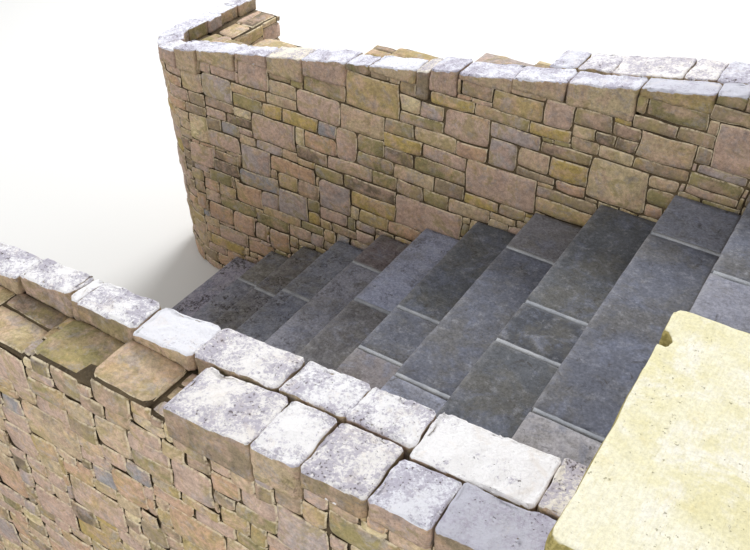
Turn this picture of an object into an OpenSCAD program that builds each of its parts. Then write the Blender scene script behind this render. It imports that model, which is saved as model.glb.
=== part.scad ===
/* [Flight] */
// Clear width between the stair faces of the two side walls
stair_w = 1800; // [1500:10:2200]
// Height of the landing above the ground at the foot
landing_h = 1814; // [1700:2:1900]
// Run from the nosing of the lowest tread to that of the landing
flight_run = 2965; // [2800:5:3100]
// Thickness of a tread slab
tread_t = 45; // [35:1:60]
// Overhang of a tread past the face of the riser under it
nosing = 25; // [10:1:40]
// Cut along the worn top arris of a tread
arris = 8; // [3:1:12]
// Thickness of a riser course
riser_t = 80; // [60:1:110]
// Width of the mortar joint between two slabs of one tread
slab_joint = 14; // [8:1:20]
// Depth of that mortar below the face of the slabs
mortar_recess = 3; // [1:1:6]
// Gap between the ends of the slabs and the walls beside them
side_joint = 4; // [2:1:10]

/* [Walls] */
// Thickness of the side walls and of their returns
wall_t = 330; // [280:5:400]
// Length of each return, measured out from the stair face of its wall
return_l = 900; // [700:10:1200]
// Distance from the outer face of the returns to the first nosing
foot_run = 601; // [520:1:700]
// Rounding of each wall corner where it meets the ground
corner_r_foot = 440; // [350:5:480]
// Rounding of each wall corner at its top
corner_r_top = 300; // [200:5:340]
// Straight length of a corner past its rounding
corner_stub = 10; // [5:1:40]
// Height of the far wall at the foot of the flight, coping included
far_foot_h = 1400; // [1200:5:1600]
// Height of the far wall where it meets its pier, coping included
far_pier_h = 2036; // [1850:2:2150]
// Height of the near wall at the foot of the flight, coping included
near_foot_h = 1546; // [1200:2:1700]
// Height of the near wall where it meets its pier, coping included
near_pier_h = 1880; // [1750:5:2150]

/* [Coping] */
// Least and most depth of a back row stone at its lower end, down to its level seat
bed_depth = [62, 150]; // [50:1:180]
// Depth of the coping stones round each corner, at the lowest point of the wall's top
turn_depth = 62; // [40:1:150]
// Length of the upper stretch of the far wall that has a back row as well
far_back_l = 1041; // [800:1:1400]
// Length of the upper stretch of the near wall that has a back row as well
near_back_l = 1112; // [800:1:1400]
// Width of the open joint between two coping stones of one row
coping_joint = 7; // [6:1:14]
// Width of the open joint between the front row and the back row
row_joint = 8; // [4:1:20]
// Most that the top of a coping stone stands above or below the line of its wall
top_stray = 5; // [0:1:12]
// Most that a coping stone side strays from its true line
stray = 3; // [0:0.5:3]
// Least and most that the corner of a coping stone is broken away
corner_break = [4, 15]; // [2:1:26]
// Least and most that the top arris of a coping stone is pitched away
arris_pitch = [3, 10]; // [2:1:24]
// Rise of the rough crown in the middle of a coping stone
crown = 5; // [0:1:12]

/* [Piers] */
// Side of the square pier at the head of each wall
pier_w = 610; // [500:5:700]
// Distance that the piers stand out below the nosing of the landing
pier_lead = 189; // [150:1:260]
// Height of a pier under its cap
pier_h = 2195; // [2150:5:2400]
// Thickness of a pier cap
cap_t = 55; // [40:1:80]
// Overhang of a cap past the faces of its pier
cap_over = 35; // [20:1:60]
// Rounding of the corners of a cap
cap_r = 22; // [10:1:40]
// Most that the riven edge of a cap runs in from its true line
cap_stray = 5; // [0:1:8]
// Height of the upright part of that edge, under its dressed arris
cap_upright = 33; // [20:1:38]
// Least and most that the top arris of a cap is dressed back
cap_dress = [3, 8]; // [1:1:12]
// Distance from the stair side corner of the near cap to the chip in its edge
chip_at = 114; // [80:1:400]
// Length of that chip along the edge
chip_l = 46; // [20:1:80]
// Depth of that chip into the cap
chip_d = 30; // [10:1:34]

/* [Hidden] */

// Rise up to each tread and to the landing, and going from each nosing to the next, from the foot
// up: each step is as it was laid, and the flight's height and run share out over them
rises = [196, 157, 132, 137, 148, 141, 147, 156, 148, 153, 149, 150];
goings = [275, 235, 238, 272, 260, 271, 278, 280, 288, 285, 283];
// Joints of each tread, measured from the face of the far wall, from the lowest tread up
tread_cuts = [[720, 1350], [311, 1100], [445, 1230], [507, 1290], [279, 1050], [654, 1300],
    [742, 1035], [310, 1222], [769, 1014], [312, 1388], [638, 1180]];
// Joints of the landing, measured the same way
landing_cuts = [560, 1190];
// Stones of the front rows, from the pier down: the length of each, its width into the wall, and
// its depth at its lower end, down to its level seat
far_front = [[217, 122, 65], [113, 118, 44], [283, 115, 40], [288, 118, 102], [236, 138, 57],
    [256, 152, 34], [137, 160, 98], [70, 158, 143], [246, 138, 37], [135, 130, 34], [259, 164, 84],
    [215, 140, 90], [215, 125, 34], [261, 132, 58]];
near_front = [[149, 165, 78], [324, 170, 92], [199, 131, 64], [211, 137, 110], [296, 137, 88],
    [232, 142, 52], [249, 128, 70], [48, 118, 96], [235, 110, 84], [230, 125, 58], [262, 140, 102],
    [250, 130, 74], [242, 138, 60]];
// Length and width of the coping stones round each corner, then out along the return
corner_stones = [[150, 140], [165, 128], [145, 150], [160, 136], [150, 145]];
return_stones = [[175, 150], [225, 132], [205, 144]];
// Lengths of the stones of the back rows, from the pier down
far_back = [180, 184, 124, 283, 143, 127];
near_back = [316, 170, 190, 149, 287];

tread_n = len(goings);
half_w = stair_w / 2;
total_l = foot_run + flight_run - pier_lead + pier_w + cap_over;
x_lo = -total_l / 2;
x_pier = total_l / 2 - cap_over - pier_w;
x_end = x_pier + pier_w;
corner_l = max(corner_r_foot, wall_t) + corner_stub;
pier_y = half_w + (wall_t - pier_w) / 2;
arc_l = corner_r_top * PI / 2;
lead_l = return_l - corner_r_top;
straight_l = x_pier - x_lo - corner_r_top;
path_l = lead_l + arc_l + straight_l;
bend_l = corner_l - corner_r_top;
front_l = straight_l - bend_l;
// How far a cut runs past what it cuts, and the height of the thin ends of a hull
past = 1;
hair = 0.01;

// Nosing of each step, counted from 1 at the foot, and the height of its tread
function nose_x(k) = x_lo + foot_run + marks(goings, flight_run)[k - 1];
function tread_z(k) = marks(rises, landing_h)[k];
function riser_x(k) = nose_x(k) + nosing;
function tread_back(k) = k < tread_n + 1 ? riser_x(k + 1) + riser_t : x_end;

// Height of a wall's top over a point, from its heights at the foot and at the pier
function top_z(h, x) = h[0] + (h[1] - h[0]) * (x - x_lo) / (x_pier - x_lo);

function total(v, n) = n == 0 ? 0 : v[n - 1] + total(v, n - 1);
// Ends of the parts of a row that fills a given length
function marks(v, length) = [for (i = [0 : len(v)]) total(v, i) * length / total(v, len(v))];

// Point of a wall's line: s runs in from the end of the return, round the corner and up
// to the pier, and v runs from the face into the wall
function on_wall(s, v) =
    s < lead_l ? [x_lo + v, half_w + return_l - s]
    : s > lead_l + arc_l ? [x_lo + corner_r_top + s - lead_l - arc_l, half_w + v]
    : let (a = 180 + 90 * (s - lead_l) / arc_l)
        [x_lo + corner_r_top + (corner_r_top - v) * cos(a),
         half_w + corner_r_top + (corner_r_top - v) * sin(a)];

// Moves a point towards another by a length
function toward(p, q, d) = p + (q - p) * d / norm(q - p);
function middle(v) = [for (i = [0, 1]) total([for (p = v) p[i]], len(v)) / len(v)];

// Outline of a coping stone between s0 and s1 along the wall and v0 and v1 into it,
// with its sides out of true and its four corners broken
function stone_plan(s0, s1, v0, v1, seed) =
    let (g = coping_joint / 2,
        d = rands(-stray, stray, 4, seed),
        e = rands(0, stray * 2, 4, seed + 1),
        most = (s1 - s0 - coping_joint) / 3,
        b = [for (cut = rands(corner_break[0], corner_break[1], 4, seed + 2)) min(cut, most)],
        q = [[s0 + g + d[0], v0 + e[0]], [s1 - g + d[1], v0 + e[1]],
            [s1 - g + d[2], v1 - e[2]], [s0 + g + d[3], v1 - e[3]]])
        [toward(q[0], q[3], b[0]), toward(q[0], q[1], b[0]), (q[0] + q[1]) / 2,
         toward(q[1], q[0], b[1]), toward(q[1], q[2], b[1]), toward(q[2], q[1], b[2]),
         toward(q[2], q[3], b[2]), (q[2] + q[3]) / 2, toward(q[3], q[2], b[3]),
         toward(q[3], q[0], b[3])];

function ring(base, n) = [for (i = [0 : n - 1]) base + i];
function band(low, high, n) =
    [for (i = [0 : n - 1]) [low + i, high + i, high + (i + 1) % n, low + (i + 1) % n]];

// One coping stone of a wall with heights h: level bed, upright sides, pitched arris, and a rough
// crown that follows the falling top of the wall. A stone is given as its two ends along the
// wall's line, its two sides into the wall, and the height of its bed.
module coping_stone(h, stone, seed) {
    flat = stone_plan(stone[0], stone[1], stone[2], stone[3], seed);
    plan = [for (p = flat) on_wall(p[0], p[1])];
    n = len(plan);
    c = middle(plan);
    pitch = rands(arris_pitch[0], arris_pitch[1], n, seed + 3);
    drop = rands(arris_pitch[0] / 2, arris_pitch[1], n, seed + 4);
    lift = rands(-crown, 0, n, seed + 5);
    off = rands(-top_stray, top_stray, 1, seed + 6)[0];
    top = [for (p = plan) top_z(h, p[0]) + off];
    bed = [for (p = plan) [p[0], p[1], stone[4]]];
    shoulder = [for (i = [0 : n - 1]) [plan[i][0], plan[i][1], top[i] - drop[i] - crown]];
    inner = [for (i = [0 : n - 1]) toward(plan[i], c, pitch[i])];
    brow = [for (i = [0 : n - 1]) [inner[i][0], inner[i][1], top_z(h, inner[i][0]) + off + lift[i]]];
    peak = [c[0], c[1], top_z(h, c[0]) + off + crown / 2];
    polyhedron(
        points = concat(bed, shoulder, brow, [peak]),
        faces = concat([ring(0, n)], band(0, n, n), band(n, 2 * n, n),
            [for (i = [0 : n - 1]) [2 * n + (i + 1) % n, 2 * n + i, 3 * n]]));
}

module coping_row(h, row, seed) {
    for (i = [0 : len(row) - 1])
        coping_stone(h, row[i], seed + 10 * i);
}

// Stones of the front row, which runs down from the pier to the rounded corner
function front_row(h, sizes) =
    let (m = marks([for (size = sizes) size[0]], front_l))
        [for (i = [0 : len(sizes) - 1])
            [path_l - m[i + 1], path_l - m[i], 0, sizes[i][1],
                top_z(h, x_pier - m[i + 1]) - sizes[i][2]]];

// Stones of the back row, each kept clear of the front stones that it stands behind
function back_row(h, lengths, row_l, front, seed) =
    let (m = marks(lengths, row_l), d = rands(bed_depth[0], bed_depth[1], len(lengths), seed))
        [for (i = [0 : len(lengths) - 1])
            let (stone = [path_l - m[i + 1], path_l - m[i]])
                [stone[0], stone[1], max([for (f = front) if (beside(f, stone)) f[3]]) + row_joint,
                 wall_t, top_z(h, x_pier - m[i + 1]) - d[i]]];

// Stones of a row that turns the corner or runs along the return, on one level bed
function turn_row(h, sizes, s_end, length) =
    let (m = marks([for (size = sizes) size[0]], length))
        [for (i = [0 : len(sizes) - 1])
            [s_end - m[i + 1], s_end - m[i], 0, sizes[i][1], turn_bed(h)]];
function turn_bed(h) = top_z(h, x_lo) - turn_depth;

// Whether two stones stand behind each other for some of their length
function beside(a, b) = a[0] < b[1] - hair && a[1] > b[0] + hair;

// A prism with an outline in x and z, from y0 to y1
module prism_xz(outline, y0, y1) {
    translate([0, y1, 0])
        rotate([90, 0, 0])
            linear_extrude(y1 - y0)
                polygon(outline);
}

// A block of the straight part of a wall, from s0 to s1 along it and v0 to v1 into it
module block(s0, s1, v0, v1, height) {
    x0 = x_pier - path_l + s0;
    x1 = x_pier - path_l + s1;
    y0 = half_w + v0;
    y1 = half_w + v1;
    linear_extrude(height) polygon([[x0, y0], [x1, y0], [x1, y1], [x0, y1]]);
}

// The straight part of a wall. Its top is a level seat under each stone of both rows. Below the
// back row, the front row's seats run through to the back.
module straight_wall(front, back) {
    s_back = back[len(back) - 1][0];
    for (f = front) {
        if (f[0] < s_back - hair) block(f[0], min(f[1], s_back), 0, wall_t, f[4]);
        for (b = back)
            if (beside(f, b)) block(max(f[0], b[0]), min(f[1], b[1]), 0, b[2] - row_joint / 2, f[4]);
    }
    for (b = back) block(b[0], b[1], b[2] - row_joint / 2, wall_t, b[4]);
}

module return_wall(h) {
    translate([x_lo, half_w + corner_l, 0]) cube([wall_t, return_l - corner_l, turn_bed(h)]);
}

// A square with the corner at its origin rounded
module rounded_square(r, side) {
    arc = [for (a = [180 : 5 : 270]) [r + r * cos(a), r + r * sin(a)]];
    polygon(concat(arc, [[side, 0], [side, side], [0, side]]));
}

// The rounded corner of a wall, fuller at its top than at the ground
module corner_wall(h) {
    translate([x_lo, half_w, 0])
        difference() {
            hull() {
                linear_extrude(hair) rounded_square(corner_r_foot, corner_l);
                translate([0, 0, turn_bed(h) - hair])
                    linear_extrude(hair) rounded_square(corner_r_top, corner_l);
            }
            translate([wall_t, wall_t, -past]) cube([corner_l, corner_l, turn_bed(h) + 2 * past]);
        }
}

// The space that the two piers take out of the flight
module pier_room(gap) {
    for (side = [-1, 1])
        translate([x_pier - gap, side * (pier_y + pier_w / 2) - pier_w / 2 - gap, -past])
            cube([pier_w + gap + past, pier_w + 2 * gap, pier_h]);
}

// Side and height outline of one slab that starts at a nosing, with its front arris worn
function slab_outline(k) =
    let (z = tread_z(k), x0 = nose_x(k), x1 = tread_back(k))
        [[x0, z - tread_t], [x1, z - tread_t], [x1, z], [x0 + arris, z],
         [x0 + arris / 3, z - arris / 3], [x0, z - arris]];

// Ends of the slabs of a tread, across the flight, from the far wall to the near one
function slab_ends(cuts) =
    let (c = [for (d = cuts) half_w - d], n = len(c))
        [for (i = [0 : n])
            [i == 0 ? half_w - side_joint : c[i - 1] - slab_joint / 2,
             i == n ? -half_w + side_joint : c[i] + slab_joint / 2]];

module slabs(k, cuts) {
    difference() {
        for (e = slab_ends(cuts)) prism_xz(slab_outline(k), e[1], e[0]);
        if (tread_back(k) > x_pier - side_joint) pier_room(side_joint);
    }
}

module tread(k) {
    color("slategray") slabs(k, tread_cuts[k - 1]);
}

module landing() {
    color("slategray") slabs(tread_n + 1, landing_cuts);
}

module slab_mortar() {
    all_cuts = concat(tread_cuts, [landing_cuts]);
    color("silver")
        for (k = [1 : tread_n + 1])
            for (d = all_cuts[k - 1])
                translate([nose_x(k) + arris, half_w - d - slab_joint / 2, tread_z(k) - tread_t])
                    cube([tread_back(k) - nose_x(k) - arris, slab_joint, tread_t - mortar_recess]);
}

module riser(k) {
    color("rosybrown")
        difference() {
            translate([riser_x(k), -half_w + side_joint, tread_z(k - 1)])
                cube([riser_t, stair_w - 2 * side_joint, tread_z(k) - tread_t - tread_z(k - 1)]);
            if (riser_x(k) + riser_t > x_pier - side_joint) pier_room(side_joint);
        }
}

// The stepped mass that carries the treads
module flight_core() {
    steps = [for (k = [1 : tread_n + 1]) each [
        [riser_x(k) + riser_t, k == 1 ? 0 : tread_z(k - 1) - tread_t],
        [riser_x(k) + riser_t, tread_z(k) - tread_t]]];
    color("gray")
        difference() {
            prism_xz(concat(steps, [[x_end, tread_z(tread_n + 1) - tread_t], [x_end, 0]]), -half_w, half_w);
            pier_room(0);
        }
}

module pier() {
    translate([x_pier, pier_y, 0]) cube([pier_w, pier_w, pier_h]);
}

// Outline of a cap: rounded corners that reach its full size, and riven sides between them
function cap_plan(w, seed) =
    let (m = 6, d = rands(0, cap_stray, 4 * m, seed))
        [for (k = [0 : 3])
            let (a = 90 * k,
                turn = [[cos(a), sin(a)], [-sin(a), cos(a)]],
                c = w / 2 - cap_r,
                corner = [for (b = [-90 : 22.5 : 0]) [c + cap_r * cos(b), -c + cap_r * sin(b)]],
                edge = [for (i = [1 : m]) [w / 2 - d[k * m + i - 1], -c + i * 2 * c / (m + 1)]])
                for (p = concat(corner, edge)) p[0] * turn[0] + p[1] * turn[1]];

module cap(seed) {
    w = pier_w + 2 * cap_over;
    plan = cap_plan(w, seed);
    n = len(plan);
    inset = rands(cap_dress[0], cap_dress[1], n, seed + 1);
    upper = [for (i = [0 : n - 1]) toward(plan[i], [0, 0], inset[i])];
    translate([x_pier + pier_w / 2, pier_y + pier_w / 2, pier_h])
        polyhedron(
            points = concat([for (p = plan) [p[0], p[1], 0]], [for (p = plan) [p[0], p[1], cap_upright]],
                [for (p = upper) [p[0], p[1], cap_t]]),
            faces = concat([ring(0, n)], band(0, n, n), band(n, 2 * n, n),
                [[for (i = [n - 1 : -1 : 0]) 2 * n + i]]));
}

// The chip in the downhill edge of the near cap, through its whole thickness
module chip_cut() {
    translate([x_pier - cap_over, pier_y - cap_over + chip_at, pier_h - past])
        linear_extrude(cap_t + 2 * past)
            polygon([[-past, -chip_l / 2], [chip_d * 0.5, -chip_l / 2], [chip_d, 0],
                [chip_d * 0.8, chip_l / 2], [-past, chip_l / 2]]);
}

far_h = [far_foot_h, far_pier_h];
near_h = [near_foot_h, near_pier_h];
far_seed = 1000;
near_seed = 5000;
far_front_row = front_row(far_h, far_front);
far_back_row = back_row(far_h, far_back, far_back_l, far_front_row, far_seed + 1);
near_front_row = front_row(near_h, near_front);
near_back_row = back_row(near_h, near_back, near_back_l, near_front_row, near_seed + 1);

module corner_coping(h, seed) {
    coping_row(h, turn_row(h, corner_stones, path_l - front_l, arc_l + 2 * bend_l), seed);
}

module return_coping(h, seed) {
    coping_row(h, turn_row(h, return_stones, lead_l - bend_l, lead_l - bend_l), seed);
}

module far_wall() {
    color("tan") straight_wall(far_front_row, far_back_row);
}

module far_corner() {
    color("tan") corner_wall(far_h);
}

module far_return() {
    color("tan") return_wall(far_h);
}

module far_pier() {
    color("burlywood") pier();
}

module far_pier_cap() {
    color("khaki") cap(61);
}

module far_coping_front() {
    color("oldlace") coping_row(far_h, far_front_row, far_seed);
}

module far_coping_back() {
    color("oldlace") coping_row(far_h, far_back_row, far_seed + 1);
}

module far_coping_corner() {
    color("oldlace") corner_coping(far_h, far_seed + 2);
}

module far_coping_return() {
    color("oldlace") return_coping(far_h, far_seed + 3);
}

module near_wall() {
    color("tan") mirror([0, 1, 0]) straight_wall(near_front_row, near_back_row);
}

module near_corner() {
    color("tan") mirror([0, 1, 0]) corner_wall(near_h);
}

module near_return() {
    color("tan") mirror([0, 1, 0]) return_wall(near_h);
}

module near_pier() {
    color("burlywood") mirror([0, 1, 0]) pier();
}

module near_pier_cap() {
    color("khaki")
        mirror([0, 1, 0])
            difference() {
                cap(73);
                chip_cut();
            }
}

module near_coping_front() {
    color("oldlace") mirror([0, 1, 0]) coping_row(near_h, near_front_row, near_seed);
}

module near_coping_back() {
    color("oldlace") mirror([0, 1, 0]) coping_row(near_h, near_back_row, near_seed + 1);
}

module near_coping_corner() {
    color("oldlace") mirror([0, 1, 0]) corner_coping(near_h, near_seed + 2);
}

module near_coping_return() {
    color("oldlace") mirror([0, 1, 0]) return_coping(near_h, near_seed + 3);
}

flight_core();
riser(1);  // riser_01
riser(2);  // riser_02
riser(3);  // riser_03
riser(4);  // riser_04
riser(5);  // riser_05
riser(6);  // riser_06
riser(7);  // riser_07
riser(8);  // riser_08
riser(9);  // riser_09
riser(10);  // riser_10
riser(11);  // riser_11
riser(12);  // riser_12
tread(1);  // tread_01
tread(2);  // tread_02
tread(3);  // tread_03
tread(4);  // tread_04
tread(5);  // tread_05
tread(6);  // tread_06
tread(7);  // tread_07
tread(8);  // tread_08
tread(9);  // tread_09
tread(10);  // tread_10
tread(11);  // tread_11
landing();
slab_mortar();
far_wall();
far_corner();
far_return();
far_pier();
far_pier_cap();
far_coping_front();
far_coping_back();
far_coping_corner();
far_coping_return();
near_wall();
near_corner();
near_return();
near_pier();
near_pier_cap();
near_coping_front();
near_coping_back();
near_coping_corner();
near_coping_return();
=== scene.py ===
import math
import random

import bmesh
import bpy
from mathutils import Matrix, Vector, noise


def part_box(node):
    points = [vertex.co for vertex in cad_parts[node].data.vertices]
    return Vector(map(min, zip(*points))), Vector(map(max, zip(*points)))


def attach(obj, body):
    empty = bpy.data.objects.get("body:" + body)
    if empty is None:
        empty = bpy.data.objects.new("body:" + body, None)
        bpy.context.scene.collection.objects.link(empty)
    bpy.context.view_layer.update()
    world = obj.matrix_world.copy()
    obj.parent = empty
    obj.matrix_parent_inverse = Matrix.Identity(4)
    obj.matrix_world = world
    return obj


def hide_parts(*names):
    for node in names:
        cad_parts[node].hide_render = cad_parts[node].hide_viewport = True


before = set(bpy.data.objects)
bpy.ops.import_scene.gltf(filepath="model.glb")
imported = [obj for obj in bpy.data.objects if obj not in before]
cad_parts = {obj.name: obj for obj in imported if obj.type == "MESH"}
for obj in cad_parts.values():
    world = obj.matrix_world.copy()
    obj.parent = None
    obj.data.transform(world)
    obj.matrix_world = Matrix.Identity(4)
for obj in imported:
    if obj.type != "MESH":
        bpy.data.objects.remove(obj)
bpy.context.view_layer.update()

# Outdoor stone steps between two rubble walls. Metres, +X up the flight, +Y to the far wall.

# Sizes of the walls and the flight, from the frame

WALL_LOW, WALL_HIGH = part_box("far_wall")
CORNER_LOW, CORNER_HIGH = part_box("far_corner")
PIER_LOW, PIER_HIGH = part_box("far_pier")
CORE_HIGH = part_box("flight_core")[1]
TREADS = 11
STEPS = [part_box(f"tread_{k:02d}") for k in range(1, TREADS + 1)] + [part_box("landing")]

FOOT_X = CORNER_LOW.x
PIER_X = WALL_HIGH.x
HALF_WIDTH = WALL_LOW.y
WALL_DEPTH = WALL_HIGH.y - WALL_LOW.y
OUTER_X = FOOT_X + WALL_DEPTH
CORNER_REACH = CORNER_HIGH.x - CORNER_LOW.x
STRAIGHT = PIER_X - FOOT_X - CORNER_REACH
RETURN_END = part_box("far_return")[1].y
FOOT_RADIUS = 0.440
TOP_RADIUS = 0.300

# Rubble: the cells that its stones are laid on, its joints, and its depths

COLUMN = 0.020
COURSE = 0.020
LONGEST = 13
NARROWEST = 4
JOINT = 0.0050
JOINT_SWAY = 0.0012
MORTAR_DEPTH = 0.020
STONE_DEPTH = 0.045

# One stone of it: the spacing and most of its rows of points, the slope of its arrises, how far it
# may stand proud, lean, round its corners and bow its sides, and how much its face and edges wander

FINE_POINTS = 0.042
PLAIN_POINTS = 0.110
MOST_ROWS = 7
ARRIS_REACH = 0.009
ARRIS_BAND = 0.026
ARRIS_DROP = 0.0075
QUOIN_ARRIS, QUOIN_BAND = 0.006, 0.025
PROUDEST = 0.008
LEAN_U, LEAN_Z = 0.005, 0.004
ROUNDEST = 0.034
BOW = (-0.0012, 0.0042)
EDGE_WANDER = 0.0030
CROWN = 0.0030
SWELL, TOOTH = 0.0040, 0.0024

# The wander of whole joints, which dies out this near to the ends and to the top and foot of a face

CALM_END, CALM_BED = 0.06, 0.05

# Coping, and the level beds that lie open behind it

COPING_DEPTH = 0.172
COPING_SPREAD = (0.001, 0.003)
COPING_POINTS = {"near": 0.010, "far": 0.012}
LEDGE_RISE = 0.014
LEDGE_SHY = 0.026
LEDGE_LAP = 0.014
LEDGE_DEPTH = 0.100
LEDGE_TUCK = 0.004
FOOT_BEND = 0.300

# Stones of the far wall's stair face, in centimetres: x of both ends, heights of bed and top, colour
FAR_STONES = [
    (107, 134, 166, 186, "P"), (104, 130, 186, 192, "B"), (76, 80, 180, 188, "O"),
    (80, 104, 180, 188, "O"), (76, 93, 174, 180, "B"), (93, 107, 174, 180, "B"), (80, 102, 162, 174, "T"),
    (102, 107, 166, 174, "B"), (103, 122, 162, 166, "L"), (101, 122, 156, 162, "O"),
    (101, 122, 152, 156, "B"), (80, 101, 156, 162, "B"), (53, 80, 156, 176, "F"), (39, 53, 164, 176, "P"),
    (24, 39, 174, 176, "T"), (16, 39, 164, 174, "C"), (0, 16, 166, 174, "B"), (8, 33, 158, 164, "O"),
    (33, 53, 158, 164, "Y"), (-16, 8, 158, 164, "Y"), (15, 39, 150, 158, "L"), (39, 61, 150, 156, "D"),
    (61, 87, 136, 156, "F"), (16, 29, 136, 150, "L"), (29, 44, 140, 150, "T"), (44, 61, 140, 150, "Y"),
    (29, 48, 136, 140, "B"), (48, 61, 134, 140, "R"), (41, 68, 128, 134, "B"), (41, 67, 120, 128, "C"),
    (5, 41, 118, 136, "P"), (87, 99, 150, 156, "T"), (87, 99, 142, 150, "O"), (87, 96, 136, 142, "R"),
    (-31, -23, 158, 164, "B"), (-61, -31, 144, 162, "C"), (-31, -21, 150, 158, "W"),
    (-21, -9, 150, 158, "L"), (-31, -9, 144, 150, "O"), (-9, 15, 144, 158, "P"), (0, 16, 136, 144, "R"),
    (-87, -61, 144, 152, "O"), (-65, -40, 130, 144, "T"), (-90, -65, 130, 144, "P"),
    (-40, -24, 136, 144, "O"), (-24, 0, 136, 144, "T"), (-40, -19, 128, 136, "Y"),
    (-19, 5, 128, 136, "P"), (-101, -80, 122, 130, "Y"), (-80, -68, 122, 130, "G"),
    (-68, -55, 112, 130, "P"), (-55, -40, 120, 130, "O"), (-40, -22, 120, 128, "D"),
    (-22, 5, 120, 128, "O"), (-34, -11, 112, 120, "T"), (-11, 5, 112, 120, "B"), (5, 24, 112, 118, "Y"),
    (24, 37, 112, 118, "B"), (-55, -34, 112, 120, "O"), (-86, -68, 112, 122, "R"),
    (-93, -73, 104, 112, "D"), (-73, -46, 104, 112, "P"), (-46, -31, 104, 112, "O"),
    (-31, -17, 104, 112, "B"), (-17, -2, 104, 112, "O"), (-2, 20, 104, 112, "T"),
    (-82, -64, 96, 104, "O"), (-93, -82, 100, 104, "Y"), (-64, -31, 96, 104, "D"), (-31, 5, 86, 104, "P"),
    (-111, -82, 90, 100, "R"), (-80, -59, 78, 96, "L"), (-59, -31, 86, 96, "Y"), (-59, -54, 78, 86, "F"),
    (-54, -36, 78, 86, "C"), (-36, -16, 78, 86, "R"), (-93, -80, 80, 90, "B"), (-87, -80, 72, 80, "O"),
    (-80, -61, 70, 78, "P"), (-106, -87, 64, 80, "L"), (-129, -108, 136, 150, "P"),
    (-108, -95, 144, 148, "O"), (-108, -91, 136, 144, "T"), (-134, -110, 130, 136, "C"),
    (-110, -90, 130, 136, "T"), (-133, -114, 122, 130, "O"), (-114, -101, 122, 130, "Y"),
    (-122, -93, 106, 122, "P"), (-133, -122, 116, 122, "W"), (-93, -86, 112, 122, "W"),
    (-155, -135, 122, 136, "L"), (-149, -130, 136, 142, "P"), (-158, -149, 136, 142, "G"),
    (-171, -155, 122, 134, "T"), (-155, -133, 116, 122, "B"), (-155, -141, 110, 116, "P"),
    (-141, -122, 110, 116, "D"), (-169, -154, 92, 108, "W"), (-154, -145, 102, 110, "B"),
    (-145, -131, 102, 110, "G"), (-131, -120, 100, 108, "C"), (-120, -103, 100, 106, "L"),
    (-103, -93, 100, 106, "C"), (-154, -131, 92, 102, "P"), (-131, -111, 84, 100, "L"),
    (-170, -152, 76, 90, "P"), (-150, -133, 84, 90, "D"), (-152, -134, 76, 84, "D"),
    (-133, -106, 74, 84, "G"), (-106, -93, 80, 90, "C"), (-139, -119, 60, 74, "R"),
    (-119, -106, 64, 74, "L"), (-119, -93, 58, 64, "C"), (-93, -78, 58, 64, "O"),
    (-157, -140, 68, 76, "O"), (-150, -139, 60, 68, "C"), (-162, -151, 52, 60, "P"),
    (-150, -125, 52, 60, "O"), (-124, -101, 50, 58, "O"), (-101, -85, 50, 58, "P"),
    (-143, -127, 38, 52, "R"), (-127, -116, 38, 50, "P"), (-115, -101, 36, 50, "R"),
    (-170, -163, 44, 56, "R"), (-160, -143, 40, 52, "R"), (-155, -131, 28, 38, "P"),
    (-131, -112, 26, 36, "R"),
]

ROOT = "root"


def seeded(*words):
    """A random source of its own for each piece."""
    return random.Random("/".join(str(word) for word in words))


def ripple(point, size, offset=0.0):
    """Smooth noise from -1 to 1 over features of a given size."""
    return noise.noise(Vector(point) / size + Vector((offset, offset * 0.7, -offset)))


def rough(point, seed=0.0):
    """The broken surface of a split stone, from about -1 to 1."""
    return (0.55 * ripple(point, 0.070, seed) + 0.30 * ripple(point, 0.028, seed + 9.0)
            + 0.15 * ripple(point, 0.012, seed + 21.0))


def clamp(value, low=0.0, high=1.0):
    return max(low, min(high, value))


def placed(name, data):
    """A new object in the scene, at the origin."""
    thing = bpy.data.objects.new(name, data)
    bpy.context.scene.collection.objects.link(thing)
    return thing


def as_mesh(work, name="part"):
    """Turns a bmesh into a mesh, and lets the bmesh go."""
    mesh = bpy.data.meshes.new(name)
    work.to_mesh(mesh)
    work.free()
    return mesh


def faced_mesh(work):
    """Turns a closed bmesh into a mesh, with its faces turned outwards."""
    bmesh.ops.recalc_face_normals(work, faces=work.faces[:])
    return as_mesh(work)


def moved(moves):
    """Moves points by vectors that were all worked out before."""
    for vert, move in moves:
        vert.co += move


# Finishes

STONE_GLOSS = 0.35


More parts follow.
